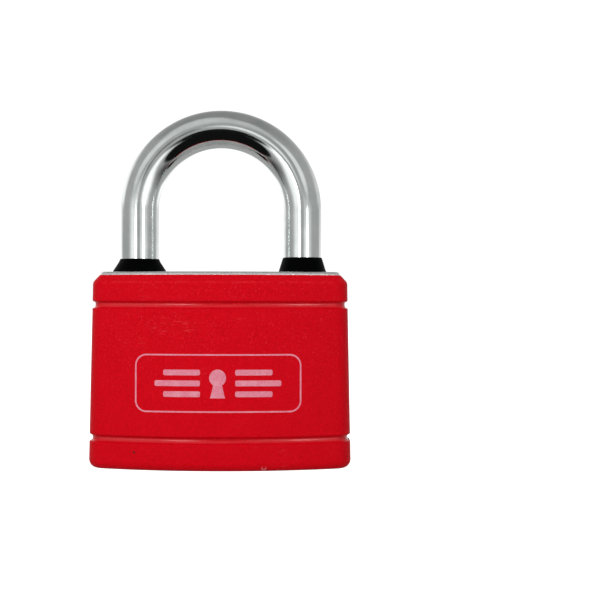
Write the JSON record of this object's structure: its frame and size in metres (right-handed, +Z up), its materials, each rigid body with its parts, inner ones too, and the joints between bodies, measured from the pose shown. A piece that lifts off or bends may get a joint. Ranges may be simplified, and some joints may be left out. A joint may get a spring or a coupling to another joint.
{
  "type": "padlock",
  "caption": "Keyed padlock: cast iron body in a grooved red jacket, round steel shackle held at heel and toe by sliding bolts, rubber seals at the legs and a brass pin cylinder.",
  "frame": {"origin": "centre of the jacket's flat base", "axes": "+Z up along the shackle's legs, X across the width with the heel leg at -X, the emblem's face towards -Y"},
  "size_m": [0.0796, 0.0328, 0.109],
  "materials": {
    "red_jacket": "moulded red thermoplastic with a fine speckled grain and a satin surface",
    "body_iron": "zinc plated cast iron, bright and slightly pitted",
    "shackle_steel": "polished and plated hardened steel",
    "seal_rubber": "black moulded rubber, satin",
    "cylinder_brass": "turned brass",
    "plug_brass": "turned brass with a broached keyway",
    "pin_brass": "turned brass",
    "bolt_steel": "hardened steel, turned",
    "spring_steel": "drawn spring wire"
  },
  "bodies": {
    "case": {"cover": "red_jacket", "lock_body": "body_iron", "heel_seal": "seal_rubber", "toe_seal": "seal_rubber", "cylinder_housing": "cylinder_brass", "housing_pin": "bolt_steel", "driver_pin_1": "bolt_steel", "driver_pin_2": "bolt_steel", "driver_pin_3": "bolt_steel", "driver_pin_4": "bolt_steel", "driver_pin_5": "bolt_steel", "pin_spring_1": "spring_steel", "pin_spring_2": "spring_steel", "pin_spring_3": "spring_steel", "pin_spring_4": "spring_steel", "pin_spring_5": "spring_steel", "chamber_plug_1": "cylinder_brass", "chamber_plug_2": "cylinder_brass", "chamber_plug_3": "cylinder_brass", "chamber_plug_4": "cylinder_brass", "chamber_plug_5": "cylinder_brass", "bolt_spring": "spring_steel", "bolt_bore_plug": "bolt_steel", "shackle_spring": "spring_steel", "shackle_retaining_pin": "bolt_steel"},
    "plug": {"cylinder_plug": "plug_brass", "plug_clip": "spring_steel", "plug_cam": "bolt_steel", "key_pin_1": "pin_brass", "key_pin_2": "pin_brass", "key_pin_3": "pin_brass", "key_pin_4": "pin_brass", "key_pin_5": "pin_brass"},
    "toe_bolt": {"toe_bolt": "bolt_steel"},
    "heel_bolt": {"heel_bolt": "bolt_steel"},
    "shackle": {"shackle": "shackle_steel"}
  },
  "joints": [
    {"name": "plug_turn", "type": "hinge", "parent": "case", "child": "plug", "pos_m": [0, 0, 0.02], "axis": [0, 0, 1], "range_deg": [0, 90]},
    {"name": "toe_bolt_slide", "type": "slide", "parent": "case", "child": "toe_bolt", "axis": [-1, 0, 0], "range_m": [0, 0.006], "deforming": ["bolt_spring"]},
    {"name": "heel_bolt_slide", "type": "slide", "parent": "case", "child": "heel_bolt", "axis": [1, 0, 0], "range_m": [0, 0.006]},
    {"name": "shackle_lift", "type": "slide", "parent": "case", "child": "shackle", "axis": [0, 0, 1], "range_m": [0, 0.02], "deforming": ["shackle_spring"]}
  ],
  "couplings": [
    {"joint": "plug_turn", "follows": "shackle_lift", "rad_per_m": 78.53},
    {"joint": "toe_bolt_slide", "follows": "shackle_lift", "ratio": 0.3},
    {"joint": "heel_bolt_slide", "follows": "shackle_lift", "ratio": 0.3}
  ]
}
